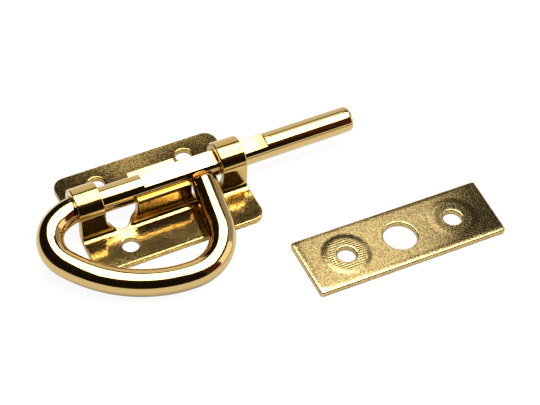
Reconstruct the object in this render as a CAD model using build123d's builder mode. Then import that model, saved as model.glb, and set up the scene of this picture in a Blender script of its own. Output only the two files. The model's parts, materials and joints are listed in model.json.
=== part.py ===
# Bunk latch: a plate formed from one sheet, a bent rod that is bolt and handle
# in one piece, and a flat strike plate that lies beside them.
# The origin is the centre of the plate's four screw holes on the mounting face.
# X runs along the rod towards the bolt's tip, Y to the back and Z up.

from build123d import *
from math import asin, atan2, cos, degrees, hypot, radians, sin
import os

os.makedirs("parts", exist_ok=True)

# Rod stock and its running fits
rod_diameter = 6.35
loop_clearance = 0.18
arm_end_gap = 0.4
front_edge_gap = 0.15

# Formed plate
sheet_thickness = 1.5
plate_length = 42.8
plate_width = 31.4
plate_corner_radius = 3.2
axis_height = 7.5
foot_bend_radius = 1.6
loop_length = 6.4
notch_length = 8.6
notch_corner_radius = 4.1
notch_floor_rise = 0.45
wall_rise = 1.1
sheet_edge_bevel = 0.3
wall_edge_radius = 0.5
screw_hole_diameter = 4.1
screw_spacing_x = 23.0
screw_spacing_y = 21.0

# Bolt and D handle, bent from one rod
bolt_reach = 30.1
tip_edge_radius = 0.9
flat_depth = 0.64
flat_length = 32.2
flat_reach = 6.6
bend_inside_loop = 1.5
entry_bend_radius = 11.8
entry_bend_angle = 30.5
back_bend_radius = 7.75
back_bend_angle = 94.5
grip_radius = 31.6
front_bend_radius = 11.4
front_bend_angle = 84.5
arm_edge_radius = 0.8

# Strike plate, and where it lies beside the latch
strike_length = 50.0
strike_width = 16.6
strike_thickness = 1.5
strike_corner_radius = 0.7
strike_edge_radius = 0.4
strike_end_slant = 0.7
bolt_hole_clearance = 0.9
strike_screw_hole_diameter = 4.5
strike_screw_spacing = 28.6
pad_top_radius = 4.4
pad_foot_radius = 6.4
tall_pad_height = 0.12
low_pad_height = 0.05
strike_gap_x = 0.9
strike_gap_y = 10.3
strike_turn = -1.2

# Values that follow from the sizes
rod_radius = rod_diameter / 2
loop_inner_radius = rod_radius + loop_clearance
loop_outer_radius = loop_inner_radius + sheet_thickness
plate_end = plate_length / 2
plate_front = plate_width / 2
notch_end = plate_end - loop_length
wall_end = notch_end - notch_length
wall_top = axis_height + wall_rise
notch_floor = sheet_thickness + notch_floor_rise
above_plate = axis_height + loop_outer_radius + sheet_thickness

bend_start = -plate_end + bend_inside_loop
closing_angle = 180 - entry_bend_angle - back_bend_angle
handle_reach = entry_bend_radius + grip_radius
handle_reach -= (entry_bend_radius - back_bend_radius) * cos(radians(entry_bend_angle))
handle_reach -= (grip_radius - back_bend_radius) * cos(radians(closing_angle))
front_bend_rise = front_bend_radius * (1 - cos(radians(front_bend_angle)))
arm_rise = handle_reach - front_bend_rise - rod_radius - arm_end_gap
arm_length = arm_rise / sin(radians(front_bend_angle))

# The handle droops until its front lies on the mounting surface, unless it comes close
# to the plate's front edge first.
droop_to_surface = degrees(asin((axis_height - rod_radius) / handle_reach))
edge_drop = axis_height - sheet_thickness
edge_distance = hypot(edge_drop, plate_front)
edge_angle = degrees(atan2(edge_drop, plate_front))
droop_to_edge = edge_angle - degrees(asin((rod_radius + front_edge_gap) / edge_distance))
droop = min(droop_to_surface, droop_to_edge)

# Formed plate: two flanges and a raised tunnel, all one sheet of even thickness
with BuildPart() as latch_plate:
    with BuildSketch(Plane.YZ.offset(-plate_end)):
        with BuildLine():
            foot = loop_outer_radius + foot_bend_radius
            foot_centre = (foot, sheet_thickness + foot_bend_radius)
            CenterArc((0, axis_height), loop_outer_radius, 0, 90)
            Line((loop_outer_radius, axis_height), (loop_outer_radius, foot_centre[1]))
            CenterArc(foot_centre, foot_bend_radius, 180, 90)
            Line((foot, sheet_thickness), (plate_front, sheet_thickness))
            Line((plate_front, sheet_thickness), (plate_front, 0))
            Line((plate_front, 0), (foot, 0))
            CenterArc(foot_centre, foot_bend_radius + sheet_thickness, 180, 90)
            Line((loop_inner_radius, foot_centre[1]), (loop_inner_radius, axis_height))
            CenterArc((0, axis_height), loop_inner_radius, 0, 90)
            Line((0, axis_height + loop_inner_radius), (0, axis_height + loop_outer_radius))
        make_face()
        mirror(about=Plane.YZ)
    extrude(amount=plate_length)

    # Rounded corners of the flanges
    plate_corners = (
        latch_plate.edges()
        .filter_by(Axis.Z)
        .filter_by_position(Axis.Z, 0, sheet_thickness)
    )
    fillet(plate_corners, plate_corner_radius)

    # Broken edge round the whole upper outline: it runs on from the front edge
    # round the corners and over both loops
    front_edge = latch_plate.edges().filter_by(Axis.X).group_by(Axis.Y)[0].sort_by(Axis.Z)[-1]
    chamfer(front_edge, sheet_edge_bevel)

    # Open top between the two loops, down to the top of the middle walls
    with BuildSketch(Plane.XZ):
        with Locations((0, (wall_top + above_plate) / 2)):
            Rectangle(2 * notch_end, above_plate - wall_top)
    extrude(amount=plate_front, both=True, mode=Mode.SUBTRACT)

    # Notches for the handle's arm, through both walls beside each loop
    with BuildSketch(Plane.XZ):
        with Locations(
            ((notch_end + wall_end) / 2, (notch_floor + above_plate) / 2),
            (-(notch_end + wall_end) / 2, (notch_floor + above_plate) / 2),
        ):
            RectangleRounded(notch_length, above_plate - notch_floor, notch_corner_radius)
        with Locations((0, above_plate)):
            Rectangle(2 * notch_end, 2 * notch_corner_radius)
    extrude(amount=plate_front, both=True, mode=Mode.SUBTRACT)
    wall_edges = latch_plate.edges().filter_by(Axis.X).group_by(Axis.Z)[-1]
    fillet(wall_edges, wall_edge_radius)

    # Four screw holes, punched through the flanges
    with BuildSketch(Plane.XY):
        with GridLocations(screw_spacing_x, screw_spacing_y, 2, 2):
            Circle(screw_hole_diameter / 2)
    extrude(amount=sheet_thickness, mode=Mode.SUBTRACT)
latch_plate.part.label = "latch_plate"
export_step(latch_plate.part, "parts/latch_plate.step")

# The plane of the handle holds the rod's axis and slopes down to the front
slope = radians(droop)
handle_plane = Plane(
    origin=(0, 0, axis_height), x_dir=(1, 0, 0), z_dir=(0, -sin(slope), cos(slope))
)
bolt_tip = plate_end + bolt_reach
flat_end = plate_end + flat_reach

# Bolt with its D handle: one round rod, with a flat on top where it slides
with BuildPart() as bolt_handle:
    with BuildLine(handle_plane):
        bolt = Line((bolt_tip, 0), (bend_start, 0))
        entry_bend = JernArc(bolt @ 1, bolt % 1, entry_bend_radius, entry_bend_angle)
        back_bend = JernArc(entry_bend @ 1, entry_bend % 1, back_bend_radius, back_bend_angle)
        grip = JernArc(back_bend @ 1, back_bend % 1, grip_radius, closing_angle)
        front_bend = JernArc(grip @ 1, grip % 1, front_bend_radius, front_bend_angle)
        arm = Line(front_bend @ 1, front_bend @ 1 + arm_length * (front_bend % 1))
    with BuildSketch(Plane(origin=(bolt_tip, 0, axis_height), z_dir=(-1, 0, 0))):
        Circle(rod_radius)
    sweep()

    # Rounded edges at the bolt's tip and at the end of the arm
    tip_edge = bolt_handle.edges().filter_by(GeomType.CIRCLE).sort_by(Axis.X)[-1]
    fillet(tip_edge, tip_edge_radius)
    arm_edge = bolt_handle.edges().filter_by(GeomType.CIRCLE).sort_by_distance(arm @ 1)[0]
    fillet(arm_edge, arm_edge_radius)

    # Flat along the top of the bolt, parallel to the handle
    with BuildSketch(handle_plane.offset(rod_radius - flat_depth)):
        with Locations((flat_end - flat_length / 2, 0)):
            Rectangle(flat_length, rod_diameter)
    extrude(amount=flat_depth, mode=Mode.SUBTRACT)
bolt_handle.part.label = "bolt_handle"
export_step(bolt_handle.part, "parts/bolt_handle.step")

# The strike plate lies in front of the latch, turned a little
strike_x = plate_end + strike_gap_x + strike_length / 2
strike_y = -(plate_front + strike_gap_y + strike_width / 2)
strike_plane = Plane(Location((strike_x, strike_y, 0), (0, 0, strike_turn)))
bolt_hole_diameter = rod_diameter + 2 * bolt_hole_clearance
on_floor = (Align.CENTER, Align.CENTER, Align.MIN)

# Strike plate: a flat bar, its right end sheared a little out of square
with BuildPart() as strike_plate:
    with BuildSketch(strike_plane) as bar:
        with BuildLine():
            Polyline(
                (-strike_length / 2, -strike_width / 2),
                (strike_length / 2 - strike_end_slant, -strike_width / 2),
                (strike_length / 2, strike_width / 2),
                (-strike_length / 2, strike_width / 2),
                close=True,
            )
        make_face()
        fillet(bar.vertices(), strike_corner_radius)
    extrude(amount=strike_thickness)
    top_edges = strike_plate.faces().sort_by(Axis.Z)[-1].edges()
    fillet(top_edges, strike_edge_radius)

    # Raised rings round the screw holes, taller on the left and faint on the right
    screw_offset = strike_screw_spacing / 2
    for screw_x, height in ((-screw_offset, tall_pad_height), (screw_offset, low_pad_height)):
        pad_foot = Location((screw_x, 0, strike_thickness))
        with Locations(strike_plane.location * pad_foot):
            Cone(pad_foot_radius, pad_top_radius, height, align=on_floor)

    # Hole for the bolt in the middle and a screw hole at each side
    with BuildSketch(strike_plane):
        Circle(bolt_hole_diameter / 2)
        with GridLocations(strike_screw_spacing, 0, 2, 1):
            Circle(strike_screw_hole_diameter / 2)
    extrude(amount=strike_thickness + tall_pad_height, mode=Mode.SUBTRACT)
strike_plate.part.label = "strike_plate"
export_step(strike_plate.part, "parts/strike_plate.step")
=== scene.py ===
# Bunk latch in bright brass plating: the formed base plate, the bolt with its D handle,
# and the strike plate beside them, on a white studio table.
import json
import math

import bpy
import numpy as np
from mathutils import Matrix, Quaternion, Vector
from mathutils.geometry import delaunay_2d_cdt


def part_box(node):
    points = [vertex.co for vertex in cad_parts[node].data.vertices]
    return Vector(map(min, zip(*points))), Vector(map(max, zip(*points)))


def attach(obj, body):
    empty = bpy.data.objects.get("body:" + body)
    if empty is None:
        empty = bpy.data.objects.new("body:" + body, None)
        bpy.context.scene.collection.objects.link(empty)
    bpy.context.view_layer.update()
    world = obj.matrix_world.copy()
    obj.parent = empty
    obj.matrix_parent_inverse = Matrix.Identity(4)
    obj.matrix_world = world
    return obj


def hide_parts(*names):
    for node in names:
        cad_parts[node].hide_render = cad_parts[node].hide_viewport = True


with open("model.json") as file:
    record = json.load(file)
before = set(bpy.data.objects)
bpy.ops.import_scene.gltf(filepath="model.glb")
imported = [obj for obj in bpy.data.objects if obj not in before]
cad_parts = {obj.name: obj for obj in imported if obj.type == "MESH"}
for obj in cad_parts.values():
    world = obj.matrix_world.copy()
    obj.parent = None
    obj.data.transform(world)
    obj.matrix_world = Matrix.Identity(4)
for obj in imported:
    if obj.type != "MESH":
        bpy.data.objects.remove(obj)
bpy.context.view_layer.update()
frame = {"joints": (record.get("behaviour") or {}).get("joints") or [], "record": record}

MM = 0.001

# Sizes of the latch, read from the frame
mounts = {m["name"]: m for m in frame["record"]["mounts"]}
plate_top_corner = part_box("latch_plate")[1]
half_length = plate_top_corner.x
half_width = plate_top_corner.y
axis_height = frame["joints"][0]["pos_m"][2]
loop_radius = plate_top_corner.z - axis_height
rod_radius = mounts["bolt_end"]["dims"]["r_mm"] * MM
bolt_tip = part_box("bolt_handle")[1].x
strike_centre = Vector(mounts["strike_bolt_hole"]["pos_m"][:2])
strike_thickness = mounts["strike_bolt_hole"]["dims"]["length_mm"] * MM

# Sizes of the formed plate
sheet = 1.5 * MM
foot_radius = 1.6 * MM
corner_radius = 3.2 * MM
loop_length = 6.4 * MM
notch_length = 8.6 * MM
notch_radius = 4.1 * MM
front_left_notch = 7.8 * MM
front_right_notch = 8.2 * MM
shortest_notch_floor = 0.2 * MM
notch_floor = sheet + 0.45 * MM
wall_top = axis_height + 1.1 * MM
wall_corner_radius = 0.6 * MM
screw_pitch = [mounts["plate_screws"]["dims"][k] * MM for k in ("spacing_x_mm", "spacing_y_mm")]
screw_radius = mounts["plate_screws"]["dims"]["hole_r_mm"] * MM
rim_round = 0.35 * MM
burr_round = 0.12 * MM

# Where the plate's bend isn't quite true: it is flatter under each notch, runs out softly into
# the flanges, draws the front flange up a little at each notch, and leaves the middle walls
# sprung open at the top. Only the flatter tongue is in the shape; the rest is in the normals only
tongue_half_width = 3.03 * MM
tongue_flatness = 0.55
runout_angle = math.radians(3.0)
runout_length = 1.5 * MM
pull_angle = math.radians(3.5)
pull_length = 2.6 * MM
pull_half_width = 4.6 * MM
wall_spring = math.radians(6.0)
wall_spring_fade = 1.0 * MM
nearly_square = math.radians(89.95)

# Sizes of the bent rod
bend_start = -half_length + 1.5 * MM
entry_bend_radius = 11.8 * MM
entry_bend_angle = math.radians(30.5)
back_bend_radius = 7.75 * MM
back_bend_angle = math.radians(94.5)
grip_radius = 31.6 * MM
front_bend_radius = 11.4 * MM
front_bend_angle = math.radians(83.2)
arm_end = rod_radius + 0.4 * MM
flat_start = -4.2 * MM
flat_end = 28.0 * MM
flat_depth = 0.64 * MM
tip_round = 0.9 * MM
arm_round = 0.8 * MM
step_width = 0.12 * MM

# Sizes of the strike plate
strike_half_length = 25.0 * MM
strike_half_width = 8.3 * MM
strike_corner_radius = 0.7 * MM
strike_end_slant = 0.7 * MM
strike_rim_round = 0.4 * MM
strike_turn = math.radians(-1.2)
strike_screw_offset = mounts["strike_screws"]["dims"]["pcd_mm"] * MM / 2
strike_screw_radius = mounts["strike_screws"]["dims"]["hole_r_mm"] * MM
bolt_hole_radius = mounts["strike_bolt_hole"]["dims"]["r_mm"] * MM
pad_top_radius = 4.4 * MM
pad_foot_radius = 6.4 * MM
pads = ((-strike_screw_offset, 0.075 * MM), (strike_screw_offset, 0.04 * MM))
pad_fine_margin = 0.4 * MM
relief_depth = 0.6 * strike_thickness

# Where the strike plate's upper face falls away: the way to that edge, how far off the edge is,
# and the fall's width and depth
edge_falls = (
    ((0, -1), strike_half_width, 2.0 * MM, 0.10 * MM),
    ((0, 1), strike_half_width, 1.5 * MM, 0.04 * MM),
    ((-1, 0), strike_half_length, 2.0 * MM, 0.07 * MM),
)

# How closely the meshes follow the forms
rim_step = 0.16 * MM
rim_clearance = 0.14 * MM
corner_steps = 6
strike_grid_step = 0.5 * MM
bend_step = 0.3 * MM
straight_step = 1.5 * MM
pole_share = 0.004
sharp_angle = math.radians(30)


def mesh_object(name, points, faces, normals=None):
    """A smooth mesh at the origin, with its own normals where they are known exactly."""
    mesh = bpy.data.meshes.new(name)
    mesh.from_pydata([tuple(p) for p in points], [], [tuple(f) for f in faces])
    mesh.validate()
    mesh.shade_smooth()
    if normals is not None:
        mesh.normals_split_custom_set_from_vertices([tuple(n) for n in normals])
    piece = bpy.data.objects.new(name, mesh)
    bpy.context.scene.collection.objects.link(piece)
    return piece


def stroke(start, end, step):
    """Points along a straight line, without its end."""
    start, end = np.array(start, float), np.array(end, float)
    count = max(1, round(float(np.linalg.norm(end - start)) / step))
    return [start + (end - start) * i / count for i in range(count)]


def arc(centre, radius, start_angle, turn, step):
    """Points along an arc, in degrees, without its end."""
    count = max(3, round(abs(math.radians(turn)) * radius / step))
    points = []
    for i in range(count):
        a = math.radians(start_angle + turn * i / count)
        points.append(np.array([centre[0] + radius * math.cos(a), centre[1] + radius * math.sin(a)]))
    return points


def circle(centre, radius, step):
    """Points round a circle."""
    return np.array(arc(centre, radius, 0, 360, step))


def rounded_outline(corners, radius, step):
    """A closed outline through corners given anticlockwise, each of them rounded."""
    corners = [np.array(c, float) for c in corners]
    count = len(corners)
    arcs = []
    for i in range(count):
        into = corners[i] - corners[i - 1]
        away = corners[(i + 1) % count] - corners[i]
        into, away = into / np.linalg.norm(into), away / np.linalg.norm(away)
        turn = math.acos(float(into @ away))
        start = corners[i] - into * radius * math.tan(turn / 2)
        centre = start + radius * np.array([-into[1], into[0]])
        first = math.atan2(-into[0], into[1])
        last = centre + radius * np.array([math.cos(first + turn), math.sin(first + turn)])
        arcs.append((start, last, arc(centre, radius, math.degrees(first), math.degrees(turn), step)))
    points = []
    for i in range(count):
        points += arcs[i][2] + stroke(arcs[i][1], arcs[(i + 1) % count][0], step)
    return np.array(points)


def even_steps(loop, step):
    """A closed outline with its points spaced evenly."""
    closed = np.concatenate([loop, loop[:1]])
    length = np.concatenate([[0], np.cumsum(np.linalg.norm(np.diff(closed, axis=0), axis=1))])
    count = round(length[-1] / step)
    at = np.linspace(0, length[-1], count, endpoint=False)
    return np.stack([np.interp(at, length, closed[:, i]) for i in (0, 1)], 1)


def signed_area(loop):
    """Twice an outline's area, negative where the outline runs clockwise."""
    x, y = loop[:, 0], loop[:, 1]
    return np.sum(x * np.roll(y, -1) - np.roll(x, -1) * y)


def outward(loop, hole):
    """Unit directions that point out of the metal at each point of an outline."""
    along = np.roll(loop, -1, 0) - np.roll(loop, 1, 0)
    along /= np.linalg.norm(along, axis=1)[:, None]
    side = np.stack([along[:, 1], -along[:, 0]], 1) * np.sign(signed_area(loop))
    return -side if hole else side


def inside(points, loop):
    """Which points lie inside a closed outline."""
    x, y = points[:, 0][:, None], points[:, 1][:, None]
    x0, y0 = loop[:, 0], loop[:, 1]
    x1, y1 = np.roll(x0, -1), np.roll(y0, -1)
    with np.errstate(divide="ignore", invalid="ignore"):
        crossing = ((y0 > y) != (y1 > y)) & (x < (x1 - x0) * (y - y0) / (y1 - y0) + x0)
    return crossing.sum(1) % 2 == 1


def clear_of(points, loop, distance):
    """Which points lie farther than a distance from an outline's own points."""
    keep = np.ones(len(points), bool)
    batch = 2000
    for start in range(0, len(points), batch):
        part = points[start:start + batch]
        gap = np.linalg.norm(part[:, None, :] - loop[None, :, :], axis=2).min(1)
        keep[start:start + batch] = gap > distance
    return keep


def rim_rings(thickness, upper_round, lower_round):
    """The rings that a cut rim is made of, from the upper face round to the lower one: how far
    in from the outline, how far down, and how far the normal has turned from straight up."""
    rings = []
    for k in range(corner_steps + 1):
        a = math.pi / 2 * k / corner_steps
        rings.append((upper_round * (1 - math.sin(a)), upper_round * (1 - math.cos(a)), a))
    for k in range(corner_steps + 1):
        a = math.pi / 2 * k / corner_steps
        down = thickness - lower_round * (1 - math.sin(a))
        rings.append((lower_round * (1 - math.cos(a)), down, math.pi / 2 + a))
    rings.append((upper_round, thickness, math.pi))
    return rings


def punched_sheet(name, outline, holes, grid, thickness, upper_round, lower_round, place):
    """A sheet cut to an outline with holes, its rims rounded, and each point put in space by
    place(flat points, depth below the upper face), which returns points, normals and the
    directions in space of the flat pattern's two axes."""
    rings = rim_rings(thickness, upper_round, lower_round)
    points, normals, faces = [], [], []
    face_loops, first_index, last_index = [], [], []
    base = 0
    for loop, is_hole in [(outline, False)] + [(h, True) for h in holes]:
        out = outward(loop, is_hole)
        forward = (signed_area(loop) > 0) != is_hole
        count = len(loop)
        for inset, depth, angle in rings:
            where, up, axis_u, axis_v = place(loop - out * inset, depth)
            side = out[:, :1] * axis_u + out[:, 1:] * axis_v
            points.append(where)
            normals.append(math.cos(angle) * up + math.sin(angle) * side)
        for k in range(len(rings) - 1):
            for i in range(count):
                j = (i + 1) % count
                a, b = base + k * count + i, base + k * count + j
                c, d = a + count, b + count
                faces.append((a, c, d, b) if forward else (a, b, d, c))
        face_loops.append(loop - out * upper_round)
        first_index.append(base)
        last_index.append(base + (len(rings) - 1) * count)
        base += len(rings) * count

    inner = grid[inside(grid, face_loops[0])]
    for loop in face_loops[1:]:
        inner = inner[~inside(inner, loop)]
    for loop in face_loops:
        inner = inner[clear_of(inner, loop, rim_clearance)]
    flat_points, edges, upper_index, lower_index = [], [], [], []
    for loop, first, last in zip(face_loops, first_index, last_index):
        at, count = len(flat_points), len(loop)
        flat_points += [tuple(p) for p in loop]
        edges += [(at + i, at + (i + 1) % count) for i in range(count)]
        upper_index += range(first, first + count)
        lower_index += range(last, last + count)
    flat_points += [tuple(p) for p in inner]
    for depth, index in ((0.0, upper_index), (thickness, lower_index)):
        where, up, _, _ = place(inner, depth)
        points.append(where)
        normals.append(up if depth == 0.0 else -up)
        index += range(base, base + len(inner))
        base += len(inner)

    scaled = [Vector(p) / MM for p in flat_points]
    corners, _, triangles, given_as, _, _ = delaunay_2d_cdt(scaled, edges, [], 0, 1e-6)
    corners = np.array([tuple(v) for v in corners]) * MM
    triangles = np.array(triangles)
    middle = corners[triangles].mean(1)
    keep = inside(middle, face_loops[0])
    for loop in face_loops[1:]:
        keep &= ~inside(middle, loop)
    for triangle in triangles[keep]:
        u, v, w = (given_as[corner][0] for corner in triangle)
        faces.append((upper_index[u], upper_index[v], upper_index[w]))
        faces.append((lower_index[u], lower_index[w], lower_index[v]))
    return mesh_object(name, np.concatenate(points), faces, np.concatenate(normals))


# The formed plate's section, as lengths along its upper face from the crown, then how far out
# its foot ends, and where along the plate the notches lie
arch_length = loop_radius * math.pi / 2
leg_length = axis_height - sheet - foot_radius
foot_length = foot_radius * math.pi / 2
foot_start = arch_length + leg_length
foot_finish = foot_start + foot_length
blank_half = foot_finish + half_width - loop_radius - foot_radius
foot_y = loop_radius + foot_radius
notch_end = half_length - loop_length
notch_middle = notch_end - notch_length / 2


def bend_blank(flat, depth):
    """Bends the flat pattern into two flanges and a raised tunnel, flatter under each notch. The
    soft run-out, the pull at the front notches and the sprung walls are in the normals only."""
    x, q = flat[:, 0], np.abs(flat[:, 1])
    sign = np.where(flat[:, 1] < 0, -1.0, 1.0)
    arch_turn = np.clip(q / loop_radius, 0, math.pi / 2)
    foot_turn = np.clip((q - foot_start) / foot_radius, 0, math.pi / 2)
    fall = np.clip(q - arch_length, 0, leg_length)
    run = np.maximum(q - foot_finish, 0)
    y = loop_radius * np.sin(arch_turn) + foot_radius * (1 - np.cos(foot_turn)) + run
    z = axis_height + loop_radius * np.cos(arch_turn) - fall - foot_radius * np.sin(foot_turn)
    turn = arch_turn - foot_turn

    from_notch = np.abs(np.abs(x) - notch_middle)
    beside = np.clip(from_notch / tongue_half_width, 0, 1)
    radius = foot_radius / (1 - tongue_flatness * (1 - beside * beside * (3 - 2 * beside)))
    up_tongue = foot_finish - q
    tongue = (up_tongue > 0) & (up_tongue < foot_length) & (beside < 1)
    bent = np.where(tongue, up_tongue / radius, 0)
    y = np.where(tongue, foot_y - radius * np.sin(bent), y)
    z = np.where(tongue, sheet + radius * (1 - np.cos(bent)), z)
    turn = np.where(tongue, bent, turn)

    zero = np.zeros_like(x)
    up = np.stack([zero, sign * np.sin(turn), np.cos(turn)], 1)
    axis_u = np.tile([1.0, 0.0, 0.0], (len(x), 1))
    axis_v = np.stack([zero, np.cos(turn), -sign * np.sin(turn)], 1)
    where = np.stack([x, sign * y, z], 1) - up * depth

    pulled = np.clip(1 - (from_notch / pull_half_width) ** 2, 0, 1) * (sign < 0)
    middle_wall = np.clip((notch_middle - np.abs(x)) / wall_spring_fade, 0, 1) * np.cos(foot_turn)
    soft = turn + runout_angle * np.exp(-run / runout_length) * (foot_turn > nearly_square)
    soft += pull_angle * pulled * np.exp(-((run / pull_length) ** 2)) * np.sin(foot_turn)
    soft += wall_spring * middle_wall * (arch_turn > nearly_square)
    up = np.stack([zero, sign * np.sin(soft), np.cos(soft)], 1)
    return where, up, axis_u, axis_v


def blank_length(z):
    """How far from the crown, along the upper face, the sheet has come down to a height."""
    if z >= axis_height:
        return loop_radius * math.acos(min(1.0, (z - axis_height) / loop_radius))
    if z >= sheet + foot_radius:
        return arch_length + axis_height - z
    return foot_start + foot_radius * math.asin((sheet + foot_radius - z) / foot_radius)


def opening_quarter(length, step):
    """One quarter of the opening between the loops in the flat pattern, with its notch."""
    wall_end = notch_end - length
    floor_radius = min(notch_radius, (length - shortest_notch_floor) / 2)
    shoulder = (wall_end - wall_corner_radius, wall_top - wall_corner_radius)
    near_corner = (wall_end + floor_radius, notch_floor + floor_radius)
    far_corner = (notch_end - floor_radius, notch_floor + floor_radius)
    side = stroke((0, wall_top), (shoulder[0], wall_top), step)
    side += arc(shoulder, wall_corner_radius, 90, -90, step / 2)
    side += stroke((wall_end, shoulder[1]), (wall_end, near_corner[1]), step)
    side += arc(near_corner, floor_radius, 180, 90, step)
    side += stroke((near_corner[0], notch_floor), (far_corner[0], notch_floor), step)
    side += arc(far_corner, floor_radius, 270, 90, step)
    side += stroke((notch_end, far_corner[1]), (notch_end, axis_height), step)
    unrolled = [(x, blank_length(z)) for x, z in side]
    crossing = stroke((notch_end, arch_length), (notch_end, 0), step)
    return np.array(unrolled + [tuple(p) for p in crossing] + [(notch_end, 0.0)])


def plate_opening(step):
    """The opening between the loops in the flat pattern, with its four notches."""
    rear = opening_quarter(notch_length, step)
    front_right = opening_quarter(front_right_notch, step)
    front_left = opening_quarter(front_left_notch, step)
    right_half = np.concatenate([rear, front_right[:-1][::-1] * (1, -1)])
    left_half = np.concatenate([front_left[1:] * (-1, -1), rear[1:-1][::-1] * (-1, 1)])
    return np.concatenate([right_half, left_half])


def make_latch_plate():
    """The base plate: a punched blank, bent round the rod."""
    corners = [
        (half_length, blank_half),
        (-half_length, blank_half),
        (-half_length, -blank_half),
        (half_length, -blank_half),
    ]
    outline = rounded_outline(corners, corner_radius, rim_step)
    hole_q = blank_half - (half_width - screw_pitch[1] / 2)
    holes = [even_steps(plate_opening(rim_step / 2), rim_step)]
    for sx in (-1, 1):
        for sq in (-1, 1):
            holes.append(circle((sx * screw_pitch[0] / 2, sq * hole_q), screw_radius, rim_step))
    bands = (
        (0, arch_length, 0.3 * MM),
        (arch_length, foot_start, 0.6 * MM),
        (foot_start, foot_finish, 0.15 * MM),
        (foot_finish, blank_half, 0.6 * MM),
    )
    rows = []
    for start, end, spacing in bands:
        rows += list(np.linspace(start, end, round((end - start) / spacing), endpoint=False))
    rows = [-q for q in rows[:0:-1]] + rows
    columns = np.linspace(-half_length, half_length, 72)
    grid = np.array([(x, q) for q in rows for x in columns])
    return punched_sheet(
        "latch_plate_formed", outline, holes, grid, sheet, rim_round, burr_round, bend_blank
    )


def pad_rise(x, y):
    """How far the upper face of the strike plate stands up round its screw holes, and falls
    away towards its edges."""
    rise = np.zeros_like(x)
    for (side_x, side_y), reach, width, depth in edge_falls:
        inward = reach - (side_x * x + side_y * y)
        rise = rise - depth * np.clip(1 - inward / width, 0, 1) ** 2
    for centre, height in pads:
        r = np.hypot(x - centre, y)
        share = np.clip((pad_foot_radius - r) / (pad_foot_radius - pad_top_radius), 0, 1)
        rise = rise + height * share * share * (3 - 2 * share)
    return rise


def strike_place(flat, depth):
    """Lays the strike plate on the table, turned as it lies there. The rises and falls of its
    upper face fade out below it, so that the lower face is flat."""
    x, y = flat[:, 0], flat[:, 1]
    fade = max(0.0, 1 - depth / relief_depth)
    probe = 0.02 * MM
    rise = pad_rise(x, y)
    slope_x = (pad_rise(x - probe, y) - pad_rise(x + probe, y)) / (2 * probe) * fade
    slope_y = (pad_rise(x, y - probe) - pad_rise(x, y + probe)) / (2 * probe) * fade
    c, s = math.cos(strike_turn), math.sin(strike_turn)
    where = np.stack([
        strike_centre.x + c * x - s * y,
        strike_centre.y + s * x + c * y,
        strike_thickness - depth + rise * fade,
    ], 1)
    up = np.stack([c * slope_x - s * slope_y, s * slope_x + c * slope_y, np.ones_like(x)], 1)
    up /= np.linalg.norm(up, axis=1)[:, None]
    axis_u = np.tile([c, s, 0.0], (len(x), 1))
    axis_v = np.tile([-s, c, 0.0], (len(x), 1))
    return where, up, axis_u, axis_v


def make_strike_plate():
    """The strike plate: a punched flat bar with a raised ring round each screw hole."""
    corners = [
        (strike_half_length, strike_half_width),
        (-strike_half_length, strike_half_width),
        (-strike_half_length, -strike_half_width),
        (strike_half_length - strike_end_slant, -strike_half_width),
    ]
    outline = rounded_outline(corners, strike_corner_radius, rim_step)
    holes = [circle((0, 0), bolt_hole_radius, rim_step)]
    for sx in (-1, 1):
        holes.append(circle((sx * strike_screw_offset, 0), strike_screw_radius, rim_step))
    xs = np.arange(-strike_half_length, strike_half_length, strike_grid_step)
    ys = np.arange(-strike_half_width, strike_half_width, strike_grid_step)
    grid = np.array([(x, y) for x in xs for y in ys])
    ring = pad_foot_radius + pad_fine_margin
    for sx in (-1, 1):
        centre = np.array([sx * strike_screw_offset, 0])
        grid = grid[np.linalg.norm(grid - centre, axis=1) > ring]
        near = np.arange(-ring, ring, rim_step)
        patch = np.array([(x, y) for x in near for y in near])
        patch = patch[np.linalg.norm(patch, axis=1) < ring - rim_step / 2]
        grid = np.concatenate([grid, patch + centre])
    return punched_sheet(
        "strike_plate_punched", outline, holes, grid, strike_thickness, strike_rim_round,
        burr_round, strike_place
    )


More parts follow.
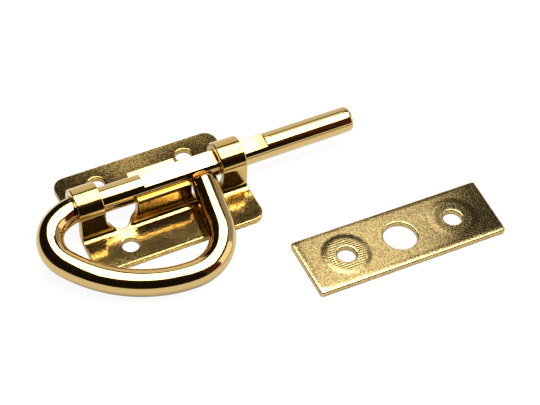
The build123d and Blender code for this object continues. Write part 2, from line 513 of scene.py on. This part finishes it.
def handle_path():
    """The rod's centre line, flat in the handle's own plane, from the bolt's tip to the arm's
    end, as (x, y, share of the rod's radius). Each end closes over a rounded edge."""
    quarter = np.linspace(0, math.pi / 2, 9)
    pole_depth = 0.004 * MM
    tip_share = 1 - tip_round / rod_radius
    points = []
    for k in (pole_share, 0.5):
        points.append((bolt_tip - pole_depth * (1 - k), 0.0, k * tip_share))
    for a in quarter:
        x = bolt_tip - pole_depth - tip_round * (1 - math.cos(a))
        points.append((x, 0.0, tip_share + tip_round / rod_radius * math.sin(a)))

    # Points stand close together where the flat steps down and up again
    stops = [points[-1][0]]
    for x in (flat_end, flat_start):
        stops += [x + step_width * k / 8 for k in (4, 3, 2, 1, 0, -1, -2, -3, -4)]
    stops.append(bend_start)
    straight = []
    for here, there in zip(stops, stops[1:]):
        straight += [(x, 0.0, 1.0) for x, _ in stroke((here, 0), (there, 0), straight_step)]
    points += straight[1:]

    x, y, heading = bend_start, 0.0, math.pi
    for radius, turn in (
        (entry_bend_radius, entry_bend_angle),
        (back_bend_radius, back_bend_angle),
        (grip_radius, math.pi - entry_bend_angle - back_bend_angle),
        (front_bend_radius, front_bend_angle),
    ):
        centre = (x - radius * math.sin(heading), y + radius * math.cos(heading))
        bend = arc(centre, radius, math.degrees(heading) - 90, math.degrees(turn), bend_step)
        points += [(*p, 1.0) for p in bend]
        heading += turn
        x = centre[0] + radius * math.sin(heading)
        y = centre[1] - radius * math.cos(heading)

    ahead = np.array([math.cos(heading), math.sin(heading)])
    end = np.array([x, y]) + ahead * (-arm_end - y) / ahead[1]
    shoulder = end - ahead * arm_round
    points += [(*p, 1.0) for p in stroke((x, y), shoulder, straight_step)]
    arm_share = 1 - arm_round / rod_radius
    for a in quarter:
        at = shoulder + ahead * arm_round * math.sin(a)
        points.append((*at, arm_share + arm_round / rod_radius * math.cos(a)))
    for k, share in ((0.5, 0.5), (1.0, pole_share)):
        at = end + ahead * pole_depth * k
        points.append((*at, share * arm_share))
    return points


def socket(tree, name, kind, default=None):
    """Gives a tree a named input."""
    made = tree.interface.new_socket(name, in_out="INPUT", socket_type=kind)
    if default is not None:
        made.default_value = default


def add_node(tree, kind, links, **settings):
    """Adds a node, sets its properties, and feeds its inputs from sockets or plain values."""
    node = tree.nodes.new(kind)
    for name, value in settings.items():
        setattr(node, name, value)
    for key, value in links.items():
        if isinstance(value, bpy.types.NodeSocket):
            tree.links.new(value, node.inputs[key])
        else:
            node.inputs[key].default_value = value
    return node


def calc(tree, operation, *values):
    """One step of arithmetic on sockets or plain values."""
    return add_node(tree, "ShaderNodeMath", dict(enumerate(values)), operation=operation).outputs[0]


def fade(tree, value, start, end, low, high, **settings):
    """Goes from one level to another while a value goes from start to end."""
    return add_node(tree, "ShaderNodeMapRange", {
        "Value": value,
        "From Min": start,
        "From Max": end,
        "To Min": low,
        "To Max": high,
    }, **settings).outputs["Result"]


def rod_tree():
    """Sweeps a round rod along a centre line, mills its flat and lays it at its droop."""
    tree = bpy.data.node_groups.new("bent_rod", "GeometryNodeTree")
    socket(tree, "Centre Line", "NodeSocketGeometry")
    socket(tree, "Rod Radius", "NodeSocketFloat", rod_radius)
    socket(tree, "Sides", "NodeSocketInt", 175)
    socket(tree, "Flat Start", "NodeSocketFloat", flat_start)
    socket(tree, "Flat End", "NodeSocketFloat", flat_end)
    socket(tree, "Flat Depth", "NodeSocketFloat", flat_depth)
    socket(tree, "Step Width", "NodeSocketFloat", step_width)
    socket(tree, "Droop", "NodeSocketFloat", 0.0)
    socket(tree, "Axis Height", "NodeSocketFloat", axis_height)
    socket(tree, "Plating", "NodeSocketMaterial")
    tree.interface.new_socket("Geometry", in_out="OUTPUT", socket_type="NodeSocketGeometry")
    given = tree.nodes.new("NodeGroupInput").outputs

    round_line = add_node(tree, "GeometryNodeCurvePrimitiveCircle", {
        "Resolution": given["Sides"],
        "Radius": given["Rod Radius"],
    })
    profile = add_node(tree, "GeometryNodeTransform", {
        "Geometry": round_line.outputs["Curve"],
        "Rotation": (0, 0, math.pi / 2),
    })
    share = tree.nodes.new("GeometryNodeInputRadius")
    swept = add_node(tree, "GeometryNodeCurveToMesh", {
        "Curve": given["Centre Line"],
        "Profile Curve": profile.outputs["Geometry"],
        "Scale": share.outputs[0],
        "Fill Caps": True,
    })

    position = tree.nodes.new("GeometryNodeInputPosition").outputs[0]
    at = add_node(tree, "ShaderNodeSeparateXYZ", {0: position}).outputs
    half_step = calc(tree, "MULTIPLY", given["Step Width"], 0.5)

    def uncut_past(edge, low, high):
        start = calc(tree, "SUBTRACT", edge, half_step)
        end = calc(tree, "ADD", edge, half_step)
        return fade(tree, at["X"], start, end, low, high, interpolation_type="SMOOTHSTEP")

    left_of_flat = uncut_past(given["Flat Start"], 1.0, 0.0)
    right_of_flat = uncut_past(given["Flat End"], 0.0, 1.0)
    uncut_share = calc(tree, "MAXIMUM", left_of_flat, right_of_flat)
    uncut = calc(tree, "MULTIPLY", uncut_share, given["Flat Depth"])
    flat_height = calc(tree, "SUBTRACT", given["Rod Radius"], given["Flat Depth"])
    height = calc(tree, "MINIMUM", at["Z"], calc(tree, "ADD", flat_height, uncut))
    milled_place = add_node(tree, "ShaderNodeCombineXYZ", {"X": at["X"], "Y": at["Y"], "Z": height})
    # Only the bolt is milled: the handle lies in front of it
    bolt_side = calc(tree, "MULTIPLY", given["Rod Radius"], -1.02)
    milled = add_node(tree, "GeometryNodeSetPosition", {
        "Geometry": swept.outputs["Mesh"],
        "Selection": calc(tree, "GREATER_THAN", at["Y"], bolt_side),
        "Position": milled_place.outputs[0],
    })

    turn = add_node(tree, "ShaderNodeCombineXYZ", {"X": given["Droop"]})
    lift = add_node(tree, "ShaderNodeCombineXYZ", {"Z": given["Axis Height"]})
    laid = add_node(tree, "GeometryNodeTransform", {
        "Geometry": milled.outputs["Geometry"],
        "Rotation": turn.outputs[0],
        "Translation": lift.outputs[0],
    })
    real = add_node(tree, "GeometryNodeRealizeInstances", {"Geometry": laid.outputs["Geometry"]})
    done = add_node(tree, "GeometryNodeSetMaterial", {
        "Geometry": real.outputs["Geometry"],
        "Material": given["Plating"],
    })
    tree.links.new(done.outputs["Geometry"], tree.nodes.new("NodeGroupOutput").inputs[0])
    return tree


def grown(name, base, tree, values):
    """The finished mesh that a tree makes of a base object, as an object of its own."""
    holder = bpy.data.objects.new(name + "_base", base)
    bpy.context.scene.collection.objects.link(holder)
    modifier = holder.modifiers.new("form", "NODES")
    modifier.node_group = tree
    for item in tree.interface.items_tree:
        if item.in_out == "INPUT" and item.name in values:
            modifier[item.identifier] = values[item.name]
    bpy.context.view_layer.update()
    evaluated = holder.evaluated_get(bpy.context.evaluated_depsgraph_get())
    mesh = bpy.data.meshes.new_from_object(evaluated)
    holder.modifiers.remove(modifier)
    bpy.data.objects.remove(holder)
    piece = bpy.data.objects.new(name, mesh)
    bpy.context.scene.collection.objects.link(piece)
    return piece


def make_bolt_handle(plating):
    """Bolt and handle, bent from one rod."""
    points = handle_path()
    line = bpy.data.curves.new("handle_centre_line", "CURVE")
    line.dimensions = "3D"
    spline = line.splines.new("POLY")
    spline.points.add(len(points) - 1)
    for point, (x, y, share) in zip(spline.points, points):
        point.co = (x, y, 0, 1)
        point.radius = share
    reach = -min(y for _, y, _ in points)
    droop = math.asin((axis_height - rod_radius) / reach)
    piece = grown("bolt_handle_bent", line, rod_tree(), {"Droop": droop, "Plating": plating})
    piece.data.shade_smooth()
    piece.data.set_sharp_from_angle(angle=sharp_angle)
    return piece


# The grain's fade with height, and its light and dark specks
grain_fade = 1.2 * MM
grain_detail = 2.0
speck_scale = 1.4
speck_detail = 1.0
speck_low, speck_high = 0.35, 0.65


def brass(name, base, roughness, grain, waves, ridges=None):
    """Bright brass plating: a mirror gold over fine grain and slow waves of the metal under it.
    The grain fades out above grain["top"], and fine parallel ridges can ring some holes."""
    material = bpy.data.materials.new(name)
    material.use_nodes = True
    tree = material.node_tree
    shader = tree.nodes["Principled BSDF"]
    shader.inputs["Metallic"].default_value = 1.0
    shader.inputs["Base Color"].default_value = (*base, 1)
    shader.inputs["Roughness"].default_value = roughness
    place = tree.nodes.new("ShaderNodeTexCoord").outputs["Object"]
    at = add_node(tree, "ShaderNodeSeparateXYZ", {0: place}).outputs

    def noise(scale, detail, shift=(0.0, 0.0, 0.0)):
        moved = add_node(tree, "ShaderNodeVectorMath", {0: place, 1: shift})
        return add_node(tree, "ShaderNodeTexNoise", {
            "Vector": moved.outputs["Vector"],
            "Scale": scale,
            "Detail": detail,
        }).outputs["Fac"]

    def bump(height, distance, before):
        inputs = {"Height": height, "Distance": distance}
        if before is not None:
            inputs["Normal"] = before
        return add_node(tree, "ShaderNodeBump", inputs).outputs["Normal"]

    kept = fade(tree, at["Z"], grain["top"], grain["top"] + grain_fade, 1.0, 0.0)
    masked_grain = calc(tree, "MULTIPLY", noise(grain["scale"], grain_detail), kept)
    surface = bump(noise(waves["scale"], 0.0, waves["shift"]), waves["depth"], None)
    surface = bump(masked_grain, grain["depth"], surface)
    if ridges is not None:
        for centre, depth in ridges["rings"]:
            east = calc(tree, "SUBTRACT", at["X"], centre.x)
            north = calc(tree, "SUBTRACT", at["Y"], centre.y)
            east_square = calc(tree, "MULTIPLY", east, east)
            north_square = calc(tree, "MULTIPLY", north, north)
            out = calc(tree, "SQRT", calc(tree, "ADD", east_square, north_square))
            past_hole = fade(tree, out, *ridges["inner"], 0.0, 1.0)
            before_end = fade(tree, out, *ridges["outer"], 1.0, 0.0)
            ring = calc(tree, "MULTIPLY", past_hole, before_end)
            across_north = calc(tree, "MULTIPLY", north, math.cos(strike_turn))
            across_east = calc(tree, "MULTIPLY", east, math.sin(strike_turn))
            across = calc(tree, "SUBTRACT", across_north, across_east)
            row = calc(tree, "SINE", calc(tree, "MULTIPLY", across, 2 * math.pi / ridges["pitch"]))
            surface = bump(calc(tree, "MULTIPLY", row, ring), depth, surface)
    tree.links.new(surface, shader.inputs["Normal"])
    if grain["tone"] > 0:
        share = calc(tree, "MULTIPLY", kept, grain["tone"])
        darkest = calc(tree, "SUBTRACT", 1.0, share)
        lightest = calc(tree, "ADD", 1.0, share)
        fine = noise(grain["scale"] * speck_scale, speck_detail)
        specks = fade(tree, fine, speck_low, speck_high, darkest, lightest)
        tone = add_node(tree, "ShaderNodeVectorMath", {0: base, "Scale": specks}, operation="SCALE")
        tree.links.new(tone.outputs["Vector"], shader.inputs["Base Color"])
    return material


everywhere = 100 * MM
rod_brass = brass(
    "polished_rod_plating",
    base=(0.60, 0.42, 0.17),
    roughness=0.09,
    grain={"scale": 900.0, "depth": 0.0005 * MM, "tone": 0.0, "top": everywhere},
    waves={"scale": 120.0, "depth": 0.01 * MM, "shift": (0.0, 0.0, 0.0)},
)
sheet_brass = brass(
    "plated_sheet",
    base=(0.60, 0.405, 0.13),
    roughness=0.12,
    grain={"scale": 2100.0, "depth": 0.013 * MM, "tone": 0.6, "top": sheet + 0.1 * MM},
    waves={"scale": 90.0, "depth": 0.16 * MM, "shift": (0.071, 0.039, 0.009)},
)
strike_along = Vector((math.cos(strike_turn), math.sin(strike_turn)))
left_ring = strike_centre - strike_screw_offset * strike_along
right_ring = strike_centre + strike_screw_offset * strike_along
strip_brass = brass(
    "plated_strip",
    base=(0.62, 0.455, 0.185),
    roughness=0.12,
    grain={"scale": 2100.0, "depth": 0.013 * MM, "tone": 0.4, "top": everywhere},
    waves={"scale": 60.0, "depth": 0.12 * MM, "shift": (0.0, 0.0, 0.0)},
    ridges={
        "rings": ((left_ring, 0.009 * MM), (right_ring, 0.004 * MM)),
        "pitch": 0.62 * MM,
        "inner": (2.7 * MM, 3.2 * MM),
        "outer": (4.1 * MM, 4.9 * MM),
    },
)

plate = make_latch_plate()
plate.data.materials.append(sheet_brass)
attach(plate, "latch")
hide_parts("latch_plate")

strike = make_strike_plate()
strike.data.materials.append(strip_brass)
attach(strike, "latch")
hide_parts("strike_plate")

rod = make_bolt_handle(rod_brass)
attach(rod, "bolt")
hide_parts("bolt_handle")


# The studio: a white table, upright boards round the back and the right, and level softboxes
white = (1.0, 1.0, 1.0)
dark_red = (1.0, 0.3, 0.22)
room_colour = (0.014, 0.010, 0.007)
matt_albedo = 0.12
screen_albedo = 0.02
# How far the painted shadow in the table's reflections reaches from things standing on it
painted_shadow_distance = 5 * MM
table_reach = 1.2
board_distance = 0.6
softbox_turn = math.radians(-9)
softbox_radiance = 4.5


def glow(name, seen_colour, strength, albedo=matt_albedo, painted_shadow_reach=None):
    """A matt surface that camera and mirror rays also see as a plain light tone. In mirror rays
    the tone carries a painted shadow: ambient occlusion darkens it where something stands closer to
    it than the painted shadow reach."""
    material = bpy.data.materials.new(name)
    material.use_nodes = True
    tree = material.node_tree
    shader = tree.nodes["Principled BSDF"]
    shader.inputs["Base Color"].default_value = (albedo, albedo, albedo, 1)
    shader.inputs["Roughness"].default_value = 0.9
    shader.inputs["Specular IOR Level"].default_value = 0.0
    shader.inputs["Emission Color"].default_value = (*seen_colour, 1)
    rays = tree.nodes.new("ShaderNodeLightPath").outputs
    mirrored = rays["Is Glossy Ray"]
    # Painted shadow: the glow seen in mirror rays is dimmed by ambient occlusion near things
    if painted_shadow_reach is not None:
        near = add_node(tree, "ShaderNodeAmbientOcclusion", {"Distance": painted_shadow_reach})
        mirrored = calc(tree, "MULTIPLY", mirrored, near.outputs["AO"])
    seen = calc(tree, "MAXIMUM", rays["Is Camera Ray"], mirrored)
    seen = calc(tree, "MAXIMUM", seen, rays["Is Transmission Ray"])
    tree.links.new(calc(tree, "MULTIPLY", seen, strength), shader.inputs["Emission Strength"])
    return material


def board(name, facing, outline, material):
    """An upright studio board, square to a direction from the latch. Its outline is given as
    seen from the latch: degrees to the right of the back, and degrees above the table."""
    corners = []
    for side, height in outline:
        reach = board_distance / math.cos(math.radians(side - facing))
        corners.append((
            reach * math.sin(math.radians(side)),
            reach * math.cos(math.radians(side)),
            reach * math.tan(math.radians(height)),
        ))
    piece = mesh_object(name, corners, [tuple(range(len(corners)))])
    piece.data.materials.append(material)


def softbox(name, centre, size):
    """A rectangular area lamp that hangs level over the latch. Its power is four times its
    radiance times its area."""
    lamp = bpy.data.lights.new(name, "AREA")
    lamp.shape = "RECTANGLE"
    lamp.size, lamp.size_y = size
    lamp.energy = 4 * softbox_radiance * lamp.size * lamp.size_y
    holder = bpy.data.objects.new(name, lamp)
    bpy.context.scene.collection.objects.link(holder)
    holder.location = centre
    holder.rotation_euler = (0, 0, softbox_turn)


table_corners = []
for sx, sy in ((-1, -1), (1, -1), (1, 1), (-1, 1)):
    table_corners.append((sx * table_reach, sy * table_reach, 0))
table = mesh_object("table", table_corners, [(0, 1, 2, 3)])
# The table's glow in mirror rays carries a painted shadow round the latch
table.data.materials.append(glow("white_table", white, 0.93, painted_shadow_reach=painted_shadow_distance))

rear_outline = [
    (8, 0), (60, 0), (60, 36), (46.5, 38), (33, 38),
    (28, 42), (24, 45), (20, 47), (16, 43), (8, 38),
]
rear_card_outline = [(33.7, 47.5), (40, 46.5), (46, 45), (46, 54), (62, 57), (62, 63), (33.7, 63)]
right_outline = [(60, 0), (98, 0), (98, 40), (60, 36)]
right_card_outline = [(98, 0), (128, 0), (128, 34), (98, 36)]
red_outline = [(128, 0), (153, 0), (153, 42), (128, 44)]
board("rear_board", 35, rear_outline, glow("white_board", white, 0.95))
board("rear_card", 35, rear_card_outline, glow("white_card", white, 1.25))
board("right_board", 80, right_outline, glow("grey_board", white, 0.45))
board("right_card", 112, right_card_outline, glow("bright_card", white, 1.6))
board("red_screen", 140, red_outline, glow("dark_red", dark_red, 0.09, screen_albedo))

softbox("large_softbox", centre=(0.002, 0.021, 0.25), size=(0.163, 0.273))
softbox("small_softbox", centre=(0.140, -0.040, 0.252), size=(0.136, 0.238))
softbox("corner_softbox", centre=(0.093, 0.085, 0.254), size=(0.046, 0.060))

world = bpy.data.worlds.new("studio")
bpy.context.scene.world = world
world.use_nodes = True
world.node_tree.nodes["Background"].inputs["Color"].default_value = (*room_colour, 1)
world.node_tree.nodes["Background"].inputs["Strength"].default_value = 1.0


# The photograph's view: from the front left, looking down at 48 degrees
camera_place = Vector((-94.226, -220.300, 270.468)) * MM
camera_aim = Vector((24.542, -11.098, 0.0)) * MM
camera_roll = math.radians(3.844)
camera_lens = 100.15
camera_sensor = 36.0


def make_camera():
    """The camera, aimed and rolled as it was fitted to the photograph."""
    view = bpy.data.cameras.new("camera")
    view.sensor_width = camera_sensor
    view.lens = camera_lens
    view.clip_start, view.clip_end = 0.01, 10.0
    holder = bpy.data.objects.new("camera", view)
    bpy.context.scene.collection.objects.link(holder)
    aimed = (camera_aim - camera_place).to_track_quat("-Z", "Y")
    holder.location = camera_place
    holder.rotation_mode = "QUATERNION"
    holder.rotation_quaternion = aimed @ Quaternion((0, 0, 1), camera_roll)
    bpy.context.scene.camera = holder


make_camera()
bpy.context.scene.view_settings.view_transform = "Standard"
